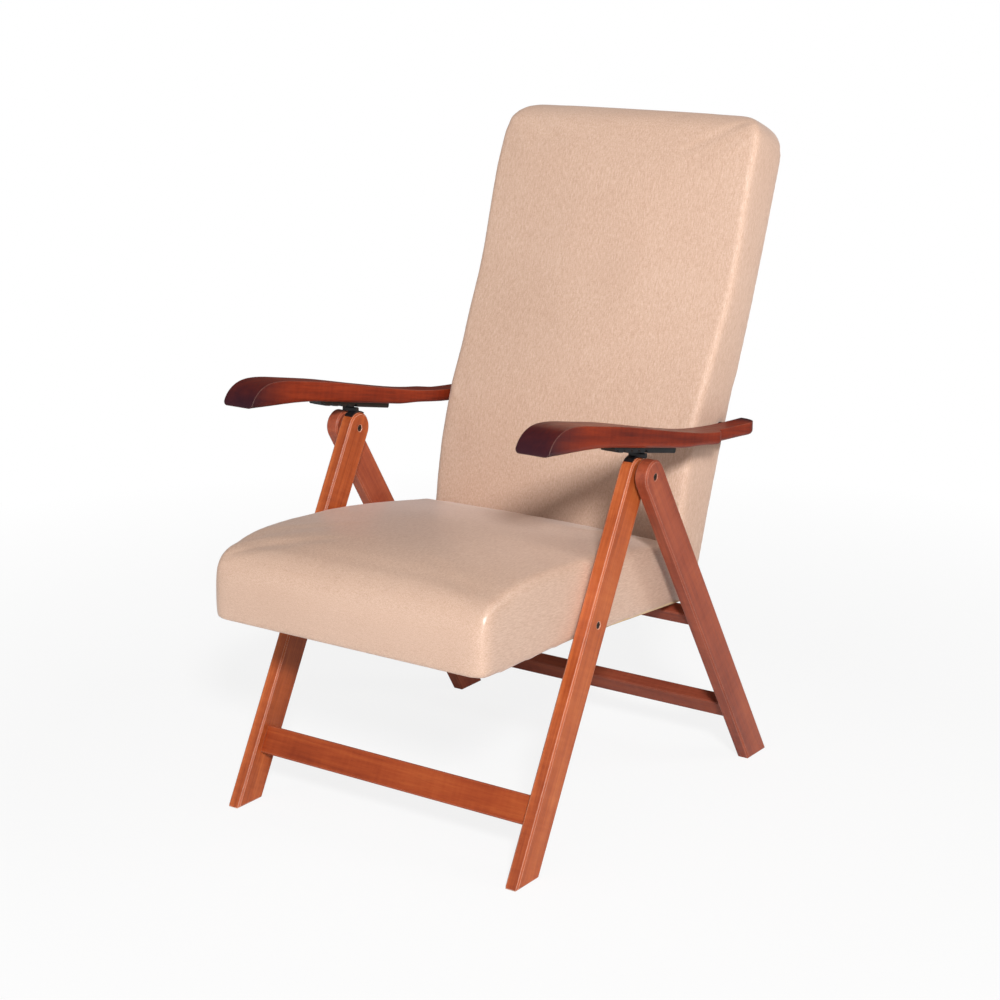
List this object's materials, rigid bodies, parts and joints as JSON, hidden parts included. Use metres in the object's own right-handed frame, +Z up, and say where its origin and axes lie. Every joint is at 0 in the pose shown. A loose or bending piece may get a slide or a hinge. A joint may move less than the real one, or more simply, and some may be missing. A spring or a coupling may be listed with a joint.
{
  "type": "reclining armchair",
  "caption": "Folding wooden armchair with an upholstered seat and high back; the back reclines in steps as notched racks under the arms rest on catches.",
  "frame": {"origin": "on the floor, under the middle of the chair's box", "axes": "+Z up; the chair faces -Y; +X is the right side seen from the front"},
  "size_m": [0.6, 0.853, 1.0407],
  "materials": {
    "leg_wood": "varnished, satin to gloss",
    "arm_wood": "varnished, glossy",
    "plain_wood": "bare, sawn",
    "cover_fabric": "plain weave",
    "panel_fabric": "plain weave on board",
    "dust_fabric": "non-woven",
    "web_fabric": "woven webbing",
    "bolt_steel": "darkened zinc",
    "black_steel": "satin black",
    "spacer_nylon": "matt black"
  },
  "bodies": {
    "front_frame": {"front_leg_left": "leg_wood", "front_leg_right": "leg_wood", "front_crossbar": "leg_wood", "front_dowels": "plain_wood", "leg_pivot_bolts": "bolt_steel", "leg_spacers": "spacer_nylon", "seat_pivot_bolts": "bolt_steel", "seat_pivot_washers": "spacer_nylon", "seat_pivot_nuts": "bolt_steel", "arm_catch_left": "black_steel", "arm_catch_right": "black_steel", "catch_screws": "bolt_steel"},
    "rear_frame": {"rear_leg_left": "leg_wood", "rear_leg_right": "leg_wood", "rear_lower_crossbar": "leg_wood", "rear_upper_crossbar": "leg_wood", "rear_dowels": "plain_wood"},
    "seat": {"seat_side_rail_left": "plain_wood", "seat_side_rail_right": "plain_wood", "seat_front_rail": "plain_wood", "seat_rear_rail": "plain_wood", "seat_webbing": "web_fabric", "seat_dust_cover": "dust_fabric", "seat_cushion": "cover_fabric"},
    "back_hinge": {"back_hinge_bolts": "bolt_steel", "back_hinge_nuts": "bolt_steel", "back_hinge_plates": "bolt_steel"},
    "back": {"back_side_rail_left": "plain_wood", "back_side_rail_right": "plain_wood", "back_bottom_rail": "plain_wood", "back_top_rail": "plain_wood", "back_webbing": "web_fabric", "back_rear_panel": "panel_fabric", "back_cushion": "cover_fabric"},
    "arm_left_spacer": {"arm_spacer_left": "spacer_nylon", "arm_disc_left": "bolt_steel"},
    "arm_left_bolt": {"arm_pivot_bolt_left": "bolt_steel"},
    "arm_left": {"armrest_left": "arm_wood", "arm_rack_left": "black_steel", "rack_screws_left": "bolt_steel", "arm_sleeve_left": "bolt_steel"},
    "arm_right_spacer": {"arm_spacer_right": "spacer_nylon", "arm_disc_right": "bolt_steel"},
    "arm_right_bolt": {"arm_pivot_bolt_right": "bolt_steel"},
    "arm_right": {"armrest_right": "arm_wood", "arm_rack_right": "black_steel", "rack_screws_right": "bolt_steel", "arm_sleeve_right": "bolt_steel"}
  },
  "joints": [
    {"name": "fold", "type": "hinge", "parent": "front_frame", "child": "rear_frame", "pos_m": [0, -0.06574, 0.545], "axis": [-1, 0, 0], "range_deg": [0, 52.5]},
    {"name": "seat_swing", "type": "hinge", "parent": "front_frame", "child": "seat", "pos_m": [0, -0.17418, 0.34104], "axis": [1, 0, 0], "range_deg": [0, 66.31]},
    {"name": "back_unfold", "type": "hinge", "parent": "seat", "child": "back_hinge", "pos_m": [0, 0.14331, 0.31705], "axis": [-1, 0, 0], "range_deg": [0, 53.71]},
    {"name": "recline", "type": "hinge", "parent": "back_hinge", "child": "back", "pos_m": [0, 0.14331, 0.31705], "axis": [-1, 0, 0], "range_deg": [0, 20]},
    {"name": "arm_track_left", "type": "hinge", "parent": "back", "child": "arm_left_spacer", "pos_m": [0, 0.23733, 0.55402], "axis": [1, 0, 0], "range_deg": [0, 15.46]},
    {"name": "arm_drop_left", "type": "hinge", "parent": "arm_left_spacer", "child": "arm_left_bolt", "pos_m": [0, 0.23733, 0.55402], "axis": [1, 0, 0], "range_deg": [0, 40.01]},
    {"name": "arm_lift_left", "type": "hinge", "parent": "arm_left_bolt", "child": "arm_left", "pos_m": [0, 0.23733, 0.55402], "axis": [-1, 0, 0], "range_deg": [0, 50]},
    {"name": "arm_track_right", "type": "hinge", "parent": "back", "child": "arm_right_spacer", "pos_m": [0, 0.23733, 0.55402], "axis": [1, 0, 0], "range_deg": [0, 15.46]},
    {"name": "arm_drop_right", "type": "hinge", "parent": "arm_right_spacer", "child": "arm_right_bolt", "pos_m": [0, 0.23733, 0.55402], "axis": [1, 0, 0], "range_deg": [0, 40.01]},
    {"name": "arm_lift_right", "type": "hinge", "parent": "arm_right_bolt", "child": "arm_right", "pos_m": [0, 0.23733, 0.55402], "axis": [-1, 0, 0], "range_deg": [0, 50]}
  ],
  "couplings": [
    {"joint": "seat_swing", "follows": "fold", "ratio": 1.263},
    {"joint": "back_unfold", "follows": "fold", "ratio": 1.023},
    {"joint": "arm_track_left", "follows": "recline", "ratio": 0.773},
    {"joint": "arm_drop_left", "follows": "fold", "ratio": 0.762},
    {"joint": "arm_track_right", "follows": "recline", "ratio": 0.773},
    {"joint": "arm_drop_right", "follows": "fold", "ratio": 0.762}
  ]
}
